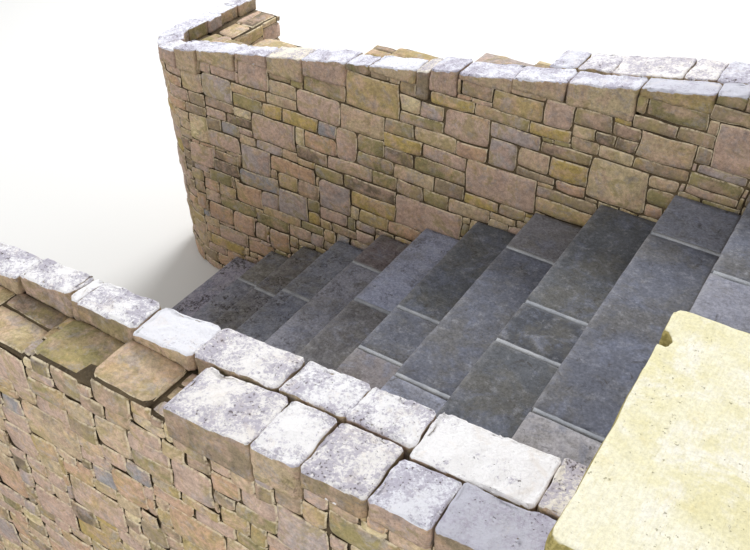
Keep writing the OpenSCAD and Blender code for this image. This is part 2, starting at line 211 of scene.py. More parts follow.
class Shade:
    """A socket in a tree of nodes. Sums and products of sockets add Math nodes."""

    def __init__(self, tree, socket=None):
        self.tree = tree
        self.socket = socket

    def node(self, kind, settings=None, inputs=None, out=0):
        """Adds a node with its settings and the values or links of its sockets."""
        made = self.tree.nodes.new(kind)
        for name, value in (settings or {}).items():
            if name == "stops":
                ramp = made.color_ramp
                while len(ramp.elements) < len(value):
                    ramp.elements.new(1.0)
                for element, (position, light) in zip(ramp.elements, value):
                    element.position = position
                    element.color = (*light, 1.0)
            elif name == "interpolation":
                made.color_ramp.interpolation = value
            else:
                setattr(made, name, value)
        for name, value in (inputs or {}).items():
            socket = made.inputs[name]
            if isinstance(value, Shade):
                self.tree.links.new(value.socket, socket)
            elif socket.type == "RGBA" and len(value) == 3:
                socket.default_value = (*value, 1.0)
            else:
                socket.default_value = value
        return Shade(self.tree, made.outputs[out])

    def maths(self, operation, *terms):
        return self.node("ShaderNodeMath", {"operation": operation}, dict(enumerate(terms)))

    def __add__(self, other):
        return self.maths("ADD", self, other)

    __radd__ = __add__

    def __sub__(self, other):
        return self.maths("SUBTRACT", self, other)

    def __rsub__(self, other):
        return self.maths("SUBTRACT", other, self)

    def __mul__(self, other):
        return self.maths("MULTIPLY", self, other)

    __rmul__ = __mul__

    def step(self, low, high):
        """0 below low, 1 above high, smooth between them."""
        return self.node("ShaderNodeMapRange", {"interpolation_type": "SMOOTHSTEP"},
                         {"Value": self, "From Min": low, "From Max": high})

    def grain(self, place, scale, detail=3.0, rough_share=0.55, warp=0.0):
        return self.node("ShaderNodeTexNoise", {}, {"Vector": place, "Scale": scale, "Detail": detail,
                                                    "Roughness": rough_share, "Distortion": warp})

    def mix(self, share, first, second, how="MIX"):
        return self.node("ShaderNodeMix", {"data_type": "RGBA", "blend_type": how},
                         {0: share, 6: first, 7: second}, out=2)

    def over(self, body, share, *seen):
        """Lays a colour, as it is seen, over a body by a share."""
        return self.mix(share, body, colour(*seen))

    def mark(self, name):
        return self.node("ShaderNodeAttribute", {"attribute_name": name}, out="Fac")


class Finish(Shade):
    """A stone finish on Object coordinates, built round the shader that a new material has."""

    def __init__(self, name):
        self.material = bpy.data.materials.new(name)
        self.material.use_nodes = True
        super().__init__(self.material.node_tree)
        self.shader = self.tree.nodes["Principled BSDF"]
        self.place = self.node("ShaderNodeTexCoord", out="Object")

    def stretched(self, scale):
        return self.node("ShaderNodeMapping", {}, {"Vector": self.place, "Scale": scale})

    def shifted(self, amount):
        """Object coordinates moved by a mark, so that neighbouring stones don't share a pattern."""
        return self.node("ShaderNodeVectorMath", {"operation": "ADD"}, {0: self.place, 1: amount})

    def upward(self):
        """How far the surface faces up, from -1 to 1."""
        normal = self.node("ShaderNodeTexCoord", out="Normal")
        return self.node("ShaderNodeSeparateXYZ", {}, {"Vector": normal}, out="Z")

    def close(self, body, roughness, height, relief, strength):
        """Joins a body colour, roughness and height to the shader, and gives the material."""
        bump = self.node("ShaderNodeBump", {},
                         {"Height": height, "Distance": relief, "Strength": strength})
        self.tree.links.new(body.socket, self.shader.inputs["Base Color"])
        self.tree.links.new(roughness.socket, self.shader.inputs["Roughness"])
        self.tree.links.new(bump.socket, self.shader.inputs["Normal"])
        self.shader.inputs["Specular IOR Level"].default_value = STONE_GLOSS
        return self.material


def colour(red, green, blue):
    """A colour written as it is seen, on the 0 to 255 scale, turned into light."""
    return tuple(((c / 255 + 0.055) / 1.055) ** 2.4 if c > 10 else c / 255 / 12.92
                 for c in (red, green, blue))


def palette(**seen):
    """Colours by letter."""
    return {letter: colour(*shade) for letter, shade in seen.items()}


# The quarry's colours, by the letters that FAR_STONES uses: brown, olive, ochre, yellow, tan, pink,
# lilac, buff, orange, dark, white and grey
QUARRY = palette(
    B=(150, 134, 110), O=(144, 134, 96), C=(176, 156, 112), Y=(180, 158, 98), T=(190, 170, 140),
    P=(186, 162, 146), L=(170, 157, 152), F=(196, 178, 144), R=(188, 156, 128), D=(120, 107, 90),
    W=(212, 196, 158), G=(150, 148, 150))

# Slab colours: lilac, olive, dark olive, grey, mottled grey, warm grey, dark lilac, pale blue, dark
# green grey, slate, light slate, light grey, pale and darkest grey
# The darkest grey H, and the darker greys set on the upper treads, are partly painted shade.
FLAGS = palette(
    L=(160, 157, 173), O=(120, 117, 112), D=(110, 106, 104), G=(96, 94, 97), M=(118, 117, 123),
    W=(126, 120, 122), V=(106, 97, 99), B=(150, 155, 177), K=(88, 91, 97), S=(96, 99, 111),
    A=(122, 125, 137), N=(134, 135, 147), P=(162, 159, 163), H=(66, 69, 77))


def tone_of(letter, colours=QUARRY):
    """The mark that stands for a letter of a table of colours."""
    return (list(colours).index(letter) + 0.5) / len(colours)


def picked(finish, tone, colours=QUARRY):
    """The colour that a mark stands for."""
    stops = [(i / len(colours), value) for i, value in enumerate(colours.values())]
    return finish.node("ShaderNodeValToRGB", {"interpolation": "CONSTANT", "stops": stops}, {"Fac": tone})


def shaded(finish, body, amount):
    """Darkens or lightens a colour by an amount around 1."""
    grey = finish.node("ShaderNodeCombineColor", {}, {0: amount, 1: amount, 2: amount})
    return finish.mix(1.0, body, grey, "MULTIPLY")


# Weathering of walling stone, in rose, olive, ochre and grey: the grain of its patches, where they
# start and are full, their share, and their colour
WEATHERING = [
    ((9.0, 6.0, 0.68, 0.6), 0.45, 0.60, 0.60, (194, 164, 146)),
    ((7.0, 7.0, 0.74, 0.7), 0.49, 0.60, 0.62, (142, 130, 86)),
    ((11.0, 6.0, 0.76, 0.5), 0.53, 0.66, 0.42, (192, 160, 112)),
    ((16.0, 6.0, 0.76, 0.4), 0.51, 0.63, 0.55, (158, 150, 148)),
]


def rubble_colour(finish, tone):
    """Colour of walling sandstone: the one that the stone's tone stands for, with its weathering."""
    body = picked(finish, tone)
    own = finish.shifted(31.0 * finish.mark("worn"))
    for grain, low, high, share, seen in WEATHERING:
        body = finish.over(body, finish.grain(own, *grain).step(low, high) * share, *seen)
    value = finish.grain(own, 60.0, 8.0, 0.86)
    broad = finish.grain(own, 7.0, 5.0, 0.7, 0.4)
    return shaded(finish, body, -0.86 + 2.50 * value + 1.25 * broad)


def stone_relief(finish):
    """Height of the sandy, pitted surface, as one value."""
    sand = finish.grain(finish.place, 420.0, 2.0, 0.6)
    tooth = finish.grain(finish.place, 95.0, 4.0, 0.62)
    swell = finish.grain(finish.place, 30.0, 3.0, 0.55)
    return 0.25 * sand + 0.45 * tooth + 0.55 * swell


def rubble_finish():
    finish = Finish("rubble_sandstone")
    edge = finish.mark("edge")
    body = rubble_colour(finish, finish.mark("tone"))
    patchiness = finish.grain(finish.place, 60.0, 4.0, 0.6)
    # Painted highlight: a pale band along the arrises of each stone, in patches, where their edges would
    # catch the light.
    rim = edge.step(0.05, 0.30) * patchiness.step(0.36, 0.56)
    body = finish.over(body, rim * 0.85, 230, 216, 186)
    # Darkens each stone's sides down into the joints: partly dirt, partly painted shade in the joint
    # recesses.
    grime_and_shade = (edge + 0.5 * patchiness).step(0.72, 0.98)
    body = finish.over(body, grime_and_shade * 0.85, 62, 52, 38)
    return finish.close(body, 0.86 + 0.10 * patchiness, stone_relief(finish), 0.0045, 0.8)


def joint_finish():
    finish = Finish("dark_joint")
    crumb = finish.grain(finish.place, 120.0, 4.0, 0.65)
    patch = finish.grain(finish.place, 9.0, 3.0, 0.55)
    body = finish.mix(patch.step(0.35, 0.68), colour(74, 62, 46), colour(104, 90, 68))
    body = finish.over(body, crumb.step(0.50, 0.70) * 0.5, 128, 114, 90)
    return finish.close(body, 0.92 + 0.05 * crumb, crumb, 0.004, 0.8)


def coping_finish():
    """Pale, mottled split tops over sides like those of the wall. The white of the tops against the sides
    is partly the stone's own pale split beds and partly painted sunlight, and their lilac-grey mottle is
    partly painted shade of the split facets.
    """
    finish = Finish("coping_sandstone")
    tone = finish.mark("tone")
    worn = finish.mark("worn")
    own = finish.shifted(17.0 * tone)
    # Tones towards 1 give bluish grey tops: painted shade for tops that lie in shade.
    top = finish.node("ShaderNodeValToRGB", {"stops": [
        (0.0, colour(240, 231, 206)), (0.35, colour(249, 245, 242)), (0.6, colour(254, 253, 255)),
        (0.8, colour(240, 241, 250)), (1.0, colour(184, 184, 198))]}, {"Fac": tone})
    mottle = finish.grain(own, 110.0, 5.0, 0.76, 0.3)
    fleck = finish.grain(own, 46.0, 5.0, 0.70, 0.6)
    drift = finish.grain(own, 10.0, 4.0, 0.6)
    # Lilac-grey patches on the tops: partly the stone's own mottle, partly painted shade of its split
    # facets. The worn mark raises their share.
    amount = (0.8 * mottle + 0.5 * fleck + 0.8 * drift + 0.24 * worn).step(1.13, 1.31)
    top = finish.over(top, amount * 0.78, 177, 171, 189)
    warm = finish.grain(own, 13.0, 5.0, 0.65, 0.6)
    top = finish.over(top, warm.step(0.54, 0.70) * 0.26, 236, 222, 206)
    pits = finish.grain(own, 120.0, 3.0, 0.6)
    pit = (pits + 0.45 * drift + 0.10 * worn).step(0.93, 1.01)
    top = finish.over(top, pit * 0.90, 104, 92, 90)
    side = rubble_colour(finish, finish.mark("side"))
    # Top colour on up-facing faces, side colour elsewhere: the tops' whiteness is partly painted
    # sunlight.
    crest = (finish.upward() + 0.45 * fleck).step(0.42, 0.66)
    body = finish.mix(crest, side, top)
    height = stone_relief(finish) + 0.8 * mottle + 0.5 * fleck - 0.6 * pit
    return finish.close(body, 0.84 + 0.10 * mottle, height, 0.007, 0.9)


def cap_finish():
    finish = Finish("yellow_cap_sandstone")
    cloud = finish.grain(finish.place, 4.0, 5.0, 0.62, 0.5)
    brushed = finish.grain(finish.stretched((240.0, 30.0, 60.0)), 1.0, 3.0, 0.55)
    top = finish.mix(cloud.step(0.38, 0.62), colour(229, 222, 180), colour(241, 237, 214))
    white = finish.grain(finish.place, 7.0, 6.0, 0.7, 0.4)
    top = finish.over(top, white.step(0.48, 0.64) * 0.75, 246, 243, 234)
    top = finish.over(top, brushed.step(0.42, 0.75) * 0.34, 216, 206, 158)
    ochre = finish.grain(finish.place, 12.0, 5.0, 0.66)
    top = finish.over(top, ochre.step(0.56, 0.72) * 0.40, 228, 210, 148)
    trail = finish.grain(finish.stretched((10.0, 3.0, 3.0)), 1.0, 2.0, 0.5, 1.2)
    speck = finish.grain(finish.place, 110.0, 3.0, 0.62)
    patch = finish.grain(finish.place, 14.0, 3.0, 0.6)
    pit = (speck + 0.22 * trail + 0.20 * patch).step(0.89, 0.95)
    streak = finish.grain(finish.stretched((90.0, 13.0, 13.0)), 1.0, 3.0, 0.6, 0.4)
    pit = pit.maths("MAXIMUM", pit, (streak + 0.16 * trail).step(0.82, 0.88))
    top = finish.over(top, pit * 0.70, 150, 144, 112)
    grain = finish.grain(finish.place, 150.0, 5.0, 0.8)
    top = shaded(finish, top, 0.52 + 0.96 * grain)
    # The sides' darker olive: partly the stone's own colour, partly painted shade on the sides.
    side = finish.mix(speck.step(0.4, 0.6), colour(134, 124, 72), colour(172, 158, 100))
    body = finish.mix(finish.upward().step(0.45, 0.85), side, top)
    height = 0.5 * brushed + 0.5 * speck - pit
    return finish.close(body, 0.84 + 0.08 * speck, height, 0.002, 0.7)


def flagstone_finish():
    """Blue grey flags: worn nosings, a darker band at the back of each tread, mortar smeared by the
    joints.
    """
    finish = Finish("blue_grey_flagstone")
    worn = finish.mark("worn")
    own = finish.shifted(23.0 * finish.mark("shift"))
    body = picked(finish, finish.mark("tone"), FLAGS)
    olive = finish.grain(own, 3.6, 7.0, 0.74, 0.4)
    body = finish.over(body, olive.step(0.46, 0.62) * 0.48, 104, 100, 90)
    blue = finish.grain(own, 7.0, 7.0, 0.74, 0.6)
    body = finish.over(body, blue.step(0.50, 0.64) * 0.48, 112, 118, 138)
    pale = finish.grain(own, 22.0, 8.0, 0.82)
    body = finish.over(body, pale.step(0.51, 0.68) * 0.45, 150, 151, 158)
    grit = finish.grain(finish.place, 90.0, 7.0, 0.84)
    cloud = finish.grain(own, 5.0, 6.0, 0.7, 0.5)
    dirt = finish.mark("dirt")
    blotch = finish.grain(own, 30.0, 6.0, 0.78, 0.3)
    body = shaded(finish, body, -1.30 + 2.80 * grit + 0.80 * pale + 1.00 * cloud
                  + dirt * (1.9 * blotch - 0.95))
    vein = finish.grain(own, 5.0, 3.0, 0.5, 1.8) - 0.5
    crack = 1.0 - vein.maths("ABSOLUTE", vein).step(0.002, 0.012)
    body = finish.over(body, crack * olive.step(0.50, 0.62) * 0.35, 64, 60, 58)
    stain = finish.grain(own, 16.0, 5.0, 0.7, 0.8)
    body = finish.over(body, stain.step(0.60, 0.68) * 0.60, 60, 56, 52)
    speck = finish.grain(finish.place, 64.0, 6.0, 0.78)
    body = finish.over(body, blotch.step(0.50, 0.62) * dirt * 0.34, 150, 152, 148)
    clump = finish.grain(own, 9.0, 3.0, 0.55, 0.4)
    crumbs = speck.step(0.50, 0.55) * clump.step(0.54, 0.61)
    body = finish.over(body, crumbs * dirt * 0.85, 50, 42, 40)
    body = finish.over(body, worn * 0.42 * pale.step(0.35, 0.60), 156, 155, 158)
    smear = (finish.mark("edge") + 0.6 * pale).step(0.80, 1.10)
    body = finish.over(body, smear * 0.30, 146, 148, 154)
    # Darkens the back of each tread, out from under the next riser.
    back_darkened = (finish.mark("silt") + 0.6 * cloud).step(0.55, 1.0)
    body = finish.over(body, back_darkened * 0.80, 60, 54, 42)
    return finish.close(body, 0.76 + 0.14 * pale, stone_relief(finish), 0.003, 0.6)


def pointing_finish():
    finish = Finish("pale_pointing")
    crumb = finish.grain(finish.place, 210.0, 4.0, 0.65)
    patch = finish.grain(finish.place, 13.0, 3.0, 0.55)
    body = finish.mix(patch.step(0.35, 0.70), colour(146, 150, 158), colour(178, 181, 186))
    body = finish.over(body, crumb.step(0.50, 0.68) * 0.5, 112, 112, 108)
    return finish.close(body, 0.90 + 0.05 * crumb, crumb, 0.0025, 0.7)


# Masonry face lines


class FaceLine:
    """The line of a wall's faces in plan, walked with the masonry on the right."""

    stone_depth = STONE_DEPTH

    def __init__(self, start, heading, mirrored=False):
        self.end = Vector(start)
        self.heading = heading
        self.mirrored = mirrored
        self.parts = []
        self.length = 0.0
        self.arrises = []
        self.breaks = []

    def ahead(self, length):
        self.parts.append({"kind": "straight", "from": self.length, "to": self.length + length,
                           "start": self.end.copy(), "heading": self.heading, "cornered": False})
        self.length += length
        self.end += self.way(self.heading) * length
        return self

    def turn(self, degrees):
        """A sharp corner: to the right it gets quoins, to the left the courses stop at it."""
        if degrees < 0:
            self.arrises.append(self.length)
            self.parts[-1]["cornered"] = True
        else:
            self.breaks.append(self.length)
        self.heading += degrees
        return self

    def bend(self, reach, foot_radius, top_radius, height):
        """A right turn of a quarter circle whose radius changes with height."""
        length = 2 * (reach - top_radius) + top_radius * math.pi / 2
        self.parts.append({"kind": "bend", "from": self.length, "to": self.length + length,
                           "start": self.end.copy(), "heading": self.heading, "reach": reach,
                           "radii": (foot_radius, top_radius), "height": height})
        self.length += length
        self.end += (self.way(self.heading) + self.way(self.heading - 90)) * reach
        self.heading -= 90
        return self

    @staticmethod
    def way(heading):
        return Vector((math.cos(math.radians(heading)), math.sin(math.radians(heading))))

    def at(self, u, z, depth):
        """The point u along the line, z up, and a depth into the masonry."""
        part = next((p for p in self.parts if u <= p["to"]), self.parts[-1])
        along = u - part["from"]
        ahead = self.way(part["heading"])
        inward = self.way(part["heading"] - 90)
        if part["kind"] == "straight":
            from_corner = part is not self.parts[0] and part["from"] in self.arrises
            if from_corner or part["cornered"]:
                low = depth if from_corner else 0.0
                high = part["to"] - part["from"] - (depth if part["cornered"] else 0.0)
                along = clamp(along, min(low, high), max(low, high))
            spot = part["start"] + ahead * along + inward * depth
        else:
            low, high = part["radii"]
            radius = low + (high - low) * clamp(z / part["height"])
            stub = part["reach"] - radius
            arc = radius * math.pi / 2
            along *= (2 * stub + arc) / (part["to"] - part["from"])
            if along < stub:
                spot = part["start"] + ahead * along + inward * depth
            else:
                angle = clamp((along - stub) / arc) * 90
                past = max(0.0, along - stub - arc)
                centre = part["start"] + ahead * stub + inward * radius
                spot = centre - self.way(part["heading"] - 90 - angle) * (radius - depth)
                spot += inward * past
        return Vector((spot.x, -spot.y if self.mirrored else spot.y, z))


class TopBed:
    """A level bed on top of a wall, laid with stones like a face. It runs along X, or along Y."""

    breaks = ()
    arrises = ()
    stone_depth = LEDGE_DEPTH

    def __init__(self, start, length, height, along_y=False, mirrored=False):
        self.start = start
        self.length = length
        self.height = height
        self.along_y = along_y
        self.mirrored = mirrored

    def at(self, u, z, depth):
        x, y = self.start
        x, y = (x + z, y + u) if self.along_y else (x + u, y + z)
        return Vector((x, -y if self.mirrored else y, self.height - depth))


def step_top(x):
    """Height of the tread surface at x, 0 before the first nosing."""
    return max([high.z for low, high in STEPS if low.x <= x], default=0.0)


# Rubble faces

# Edges closer than this are one. A larger stone is tried for every so many cells
SAME_EDGE = 0.004
CELLS_A_BLOCK = 30

# Sizes of the larger stones, in columns and courses, and the cost of each height and width of a small one
BLOCK_SIZES = [(12, 7), (13, 8), (10, 7), (12, 6), (9, 7), (8, 8), (14, 9), (11, 5), (13, 5), (7, 7)]
HIGH_COST = {1: 8.0, 2: 1.8, 3: 0.0, 4: 0.1, 5: 1.0}
NARROW_COST = {1: 14.0, 2: 7.0, 3: 3.0, 4: 0.8}


def course_levels(floor, top):
    return [floor + COURSE * i for i in range(math.ceil((top - floor) / COURSE) + 1)]


def column_edges(line, tops):
    """Edges of the columns that stones are made of, snapped to ends, steps and inner corners."""
    fixed = sorted({0.0, line.length, *line.breaks, *(u for t in tops for u in t[:2])})
    fixed = [u for i, u in enumerate(fixed) if i == 0 or u - fixed[i - 1] > SAME_EDGE]
    edges = [0.0]
    for u0, u1 in zip(fixed, fixed[1:]):
        count = max(1, round((u1 - u0) / COLUMN))
        edges += [u0 + (u1 - u0) * (i + 1) / count for i in range(count)]
    return edges


class RubbleFace:
    """Lays stones on a face line: given ones first, then a greedy fill of a fine grid of cells."""

    def __init__(self, line, floor, tops, rng, given=()):
        self.line = line
        self.floor = floor
        self.tops = tops
        self.rng = rng
        self.edges = column_edges(line, tops)
        self.levels = course_levels(floor, max(t[2] for t in tops))
        self.columns = len(self.edges) - 1
        middles = [(a + b) / 2 for a, b in zip(self.edges, self.edges[1:])]
        self.seat = [self.top_at(middle) for middle in middles]
        self.bay = [sum(middle > b for b in line.breaks) for middle in middles]
        self.count = [self.courses_under(seat) for seat in self.seat]
        self.owner = [[-1] * self.columns for level in self.levels]
        self.stones = []
        self.letters = {}
        for stone in given:
            self.set_stone(*stone)
        self.scatter_blocks()
        for row in range(len(self.levels) - 1):
            for column in range(self.columns):
                if self.free(column, row):
                    self.lay(column, row)

    def top_at(self, u):
        return next((t[2] for t in self.tops if t[0] <= u <= t[1]), self.floor)

    def courses_under(self, seat):
        """Number of courses in a column: the last one stretches to meet the seat."""
        return sum(level + 0.75 * COURSE < seat for level in self.levels[:-1])

    def free(self, column, row):
        return 0 <= column < self.columns and row < self.count[column] and self.owner[row][column] < 0

    def kind(self, column, row):
        """What a stone may not straddle: the bay of a cell, and its seat if it is the last below it."""
        at_top = self.count[column] - 1 == row
        return self.bay[column], self.seat[column] if at_top else None

    def run(self, column, row, high=1, way=1):
        """Number of cells in a row, going one way, that a stone of this height could take."""
        top = row + high - 1
        length = 0
        while length < LONGEST:
            here = column + length * way
            if not all(self.free(here, r) for r in range(row, top + 1)):
                break
            if self.kind(here, top) != self.kind(column, top):
                break
            length += 1
        return length

    def room(self, column, row):
        """Number of free courses over a place, up to 2."""
        return next((i for i in range(2) if not self.free(column, row + i)), 2)

    def fits(self, column, row, wide, high):
        return self.run(column, row, high) >= wide

    def scatter_blocks(self):
        """Sets larger blocks at random, never so that a sliver is left beside one."""
        for attempt in range(sum(self.count) // CELLS_A_BLOCK):
            wide, high = self.rng.choice(BLOCK_SIZES)
            column = self.rng.randrange(self.columns)
            row = self.rng.randrange(max(1, len(self.levels) - high))
            if not self.fits(column, row, wide, high):
                continue
            rows = range(row, row + high)
            beside = [self.run(column + wide, r) for r in rows if column + wide < self.columns]
            beside += [self.run(column - 1, r, way=-1) for r in rows if column > 0]
            above = {self.room(c, row + high) for c in range(column, column + wide)}
            if not any(0 < gap < NARROWEST for gap in beside) and 1 not in above and row != 1:
                self.claim(column, row, wide, high)

    def joint(self, column, row):
        """Whether an upright joint stands at the left of a column in a course."""
        if row < 0 or column <= 0 or column >= self.columns:
            return False
        return self.owner[row][column - 1] != self.owner[row][column]

    def lay(self, column, row):
        """Chooses the next small stone, the one that costs least: upright or overlong stones, slivers
        left beside or above, joints in line, and tops one course off the last stone's cost more."""
        run = self.run(column, row)
        last_top = None
        if column > 0 and self.owner[row][column - 1] >= 0:
            last_top = self.stones[self.owner[row][column - 1]][3]
        best = None
        for high, high_cost in HIGH_COST.items():
            for wide in range(1, self.run(column, row, high) + 1):
                cost = high_cost + NARROW_COST.get(wide, 0.0) + 2.0 * self.rng.random()
                cost += 4.0 * max(0.0, 1.25 - wide / high) + 1.0 * max(0.0, wide / high - 3.4)
                cost += 1.2 * max(0, NARROWEST + 1 - run + wide) * (run > wide)
                cost += 1.6 * self.joint(column + wide, row - 1)
                cost += 6.0 * any(self.room(c, row + high) == 1 for c in range(column, column + wide))
                if last_top is not None:
                    cost += 2.5 * (abs(last_top - row - high) == 1)
                if best is None or cost < best[0]:
                    best = (cost, wide, high)
        self.claim(column, row, best[1], best[2])

    def claim(self, column, row, wide, high):
        for r in range(row, row + high):
            for c in range(column, column + wide):
                self.owner[r][c] = len(self.stones)
        self.stones.append((column, column + wide, row, row + high))

    def set_stone(self, u0, u1, z0, z1, letter):
        """Claims the cells of a given stone, as far as they lie under the seats and are free."""
        column = min(range(self.columns), key=lambda c: abs(self.edges[c] - u0))
        last = min(range(1, self.columns + 1), key=lambda c: abs(self.edges[c] - u1))
        row = round((z0 - self.floor) / COURSE)
        if last > column:
            top = min(round((z1 - self.floor) / COURSE), *self.count[column:last])
            if top > row and all(self.free(c, r) for c in range(column, last) for r in range(row, top)):
                self.letters[len(self.stones)] = letter
                self.claim(column, row, last - column, top - row)

    def spots(self):
        """Each stone as both ends, bed and top, and the letter of its colour where that is given."""
        for index, (c0, c1, r0, r1) in enumerate(self.stones):
            capped = all(self.count[c] == r1 and self.seat[c] == self.seat[c0] for c in range(c0, c1))
            top = self.seat[c0] if capped else self.levels[r1]
            yield self.edges[c0], self.edges[c1], self.levels[r0], top, self.letters.get(index)


def grid_lines(low, high, arrises, spacing):
    """Lines across a stone: narrow at both arrises, and doubled at a corner that it turns."""
    size = high - low
    reach = min(ARRIS_REACH, size * 0.16)
    inner = min(ARRIS_BAND, size * 0.34)
    count = max(1, min(MOST_ROWS, round((size - 2 * inner) / spacing)))
    lines = [0.0, reach] + [inner + (size - 2 * inner) * i / count for i in range(count + 1)]
    lines += [size - reach, size]
    for corner in arrises:
        if low + 0.03 < corner < high - 0.03:
            at = corner - low
            lines = [x for x in lines if abs(x - at) > QUOIN_BAND or x in (0.0, size)]
            lines += [at - QUOIN_ARRIS, at + QUOIN_ARRIS]
    return sorted(low + x for x in lines)


def rounded(u, z, low, high, radii):
    """Draws a point near a corner of a stone in to that corner's rounding."""
    for (i, j), radius in radii.items():
        side_u, side_z = 2 * i - 1, 2 * j - 1
        middle_u = (high[0] if i else low[0]) - side_u * radius
        middle_z = (high[1] if j else low[1]) - side_z * radius
        past_u, past_z = (u - middle_u) * side_u, (z - middle_z) * side_z
        if past_u > 0 and past_z > 0:
            share = max(past_u, past_z) / math.hypot(past_u, past_z)
            return middle_u + past_u * share * side_u, middle_z + past_z * share * side_z
    return u, z


def blank_stone(columns, rows):
    """A grid for the face of a stone, an extruded skirt and a back, and the points of that back."""
    stone = bmesh.new()
    bmesh.ops.create_grid(stone, x_segments=columns, y_segments=rows, size=1)
    rim = [edge for edge in stone.edges if edge.is_boundary]
    skirt = bmesh.ops.extrude_edge_only(stone, edges=rim)["geom"]
    back = {item for item in skirt if isinstance(item, bmesh.types.BMVert)}
    back_edges = [item for item in skirt if isinstance(item, bmesh.types.BMEdge) and item.is_boundary]
    bmesh.ops.contextual_create(stone, geom=back_edges)
    return stone, back


def rubble_stone(face, spot, rng, tone, spacing):
    """The mesh of one stone, with rounded corners, bowed sides and a split face inside its joints."""
    line = face.line
    u0, u1, z0, z1 = spot
    wide, high = u1 - u0, z1 - z0
    across = grid_lines(u0, u1, line.arrises, spacing)
    up = grid_lines(z0, z1, [], spacing)
    stone, back = blank_stone(len(across) - 1, len(up) - 1)
    tone_mark, worn_mark, edge_mark = [stone.verts.layers.float.new(n) for n in ("tone", "worn", "edge")]
    worn = rng.random()
    proud = rng.uniform(0.0, PROUDEST)
    tilt_u, tilt_z = rng.uniform(-LEAN_U, LEAN_U), rng.uniform(-LEAN_Z, LEAN_Z)
    gap = JOINT / 2 + rng.uniform(-JOINT_SWAY, JOINT_SWAY)
    least = min(wide, high)
    radii = {(i, j): rng.random() ** 1.7 * min(ROUNDEST, 0.26 * least) for i in (0, 1) for j in (0, 1)}
    bows = [rng.uniform(*BOW) * min(1.0, least / 0.12) for side in range(4)]
    last_u, last_z = len(across) - 1, len(up) - 1
    seed = rng.uniform(0, 50)
    for vert in stone.verts:
        i = round((vert.co.x + 1) / 2 * last_u)
        j = round((vert.co.y + 1) / 2 * last_z)
        u, z = across[i], up[j]
        share_u, share_z = (u - u0) / wide, (z - z0) / high
        at_side, at_bed = i in (0, last_u), j in (0, last_z)
        wander = max(0.0003, gap + EDGE_WANDER * ripple((u, z, seed), 0.05))
        inset = wander + (0.002 if vert in back else 0.0)
        if at_side:
            u += (inset + bows[i > 0] * (2 * share_z - 1) ** 2) * (1 if i == 0 else -1)
        if at_bed:
            z += (inset + bows[2 + (j > 0)] * (2 * share_u - 1) ** 2) * (1 if j == 0 else -1)
        u, z = rounded(u, z, (u0 + gap, z0 + gap), (u1 - gap, z1 - gap), radii)
        u, z = warped(face, u, z)
        if vert in back:
            depth, edge = line.stone_depth, 1.0
        else:
            relief = SWELL * ripple((u, z, seed), 0.085) + TOOTH * ripple((u, z, seed + 7), 0.035)
            crown = CROWN * (abs(2 * share_u - 1) ** 3 + abs(2 * share_z - 1) ** 3)
            depth = proud + tilt_u * (share_u - 0.5) + tilt_z * (share_z - 0.5) + relief + crown + 0.002
            edge = 0.0
            if at_side or at_bed:
                depth += ARRIS_DROP * (1.25 if at_side and at_bed else 1.0) * rng.uniform(0.75, 1.15)
                edge = 0.42
            depth = max(0.0, depth)
        vert.co = line.at(u, z, depth)
        vert[tone_mark] = tone
        vert[worn_mark] = worn
        vert[edge_mark] = edge
    return faced_mesh(stone)


def warped(face, u, z):
    """Puts the wander of hand laid joints into a place on the face."""
    ends = clamp(min(u, face.line.length - u) / CALM_END)
    for corner in face.line.breaks:
        ends = min(ends, clamp(abs(u - corner) / CALM_END))
    top = face.top_at(u)
    rise = clamp((z - face.floor) / CALM_BED) * clamp((top - z) / CALM_BED)
    sway = 0.010 * ripple((u, z, 3.0), 0.20) + 0.007 * ripple((u, z, 13.0), 0.075)
    heave = 0.009 * ripple((u, z, 8.0), 0.27) + 0.006 * ripple((u, z, 18.0), 0.10)
    return u + sway * ends * clamp((top - z) / CALM_BED + 0.3), z + heave * rise


# Shares of the quarry's colours among thin and high stones, and what warmth adds to them
SMALL_SHARES = dict(B=7, O=7, C=5, Y=3, T=5, P=4, L=2, F=1, R=1, D=3, W=0.5, G=0.5)
LARGE_SHARES = dict(B=1, O=1, C=2, Y=0, T=7, P=9, L=5, F=4, R=1, D=0, W=0.5, G=0.5)
WARM_GAINS = dict(O=-0.7, C=-0.4, Y=-0.5, P=1.0, R=5.0)
LARGE_HEIGHT = 0.11
PLAIN_WARMTH = 0.2


def pick_letter(rng, high, warmth):
    """Thin stones are mostly olive, brown or ochre. Large ones are tan, pink or lilac."""
    shares = dict(LARGE_SHARES if high > LARGE_HEIGHT else SMALL_SHARES)
    for letter, gain in WARM_GAINS.items():
        shares[letter] *= 1 + gain * warmth
    return rng.choices(list(shares), list(shares.values()))[0]


def joined(name, meshes, finish, slot, *nodes):
    """Joins meshes into one shown piece on the body, which stands for any nodes that are named."""
    whole = bmesh.new()
    for mesh in meshes:
        whole.from_mesh(mesh)
        bpy.data.meshes.remove(mesh)
    for face in whole.faces:
        face.smooth = True
    mesh = as_mesh(whole, name)
    mesh.materials.append(finish)
    piece = placed(name, mesh)
    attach(piece, ROOT)
    if nodes:
        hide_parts(*nodes)


def rubble_meshes(face, rng, hidden=None, warmth=None, plain=None):
    """Meshes of the stones of a face but for hidden ones. Those of a plain stretch have fewer faces."""
    meshes = []
    for u0, u1, z0, z1, letter in face.spots():
        if hidden and hidden(u0, u1, z1):
            continue
        letter = letter or pick_letter(rng, z1 - z0, warmth(u0) if warmth else PLAIN_WARMTH)
        spacing = PLAIN_POINTS if plain and plain(u0) else FINE_POINTS
        meshes.append(rubble_stone(face, (u0, u1, z0, z1), rng, tone_of(letter), spacing))
    return meshes


# Copies of the frame's solids


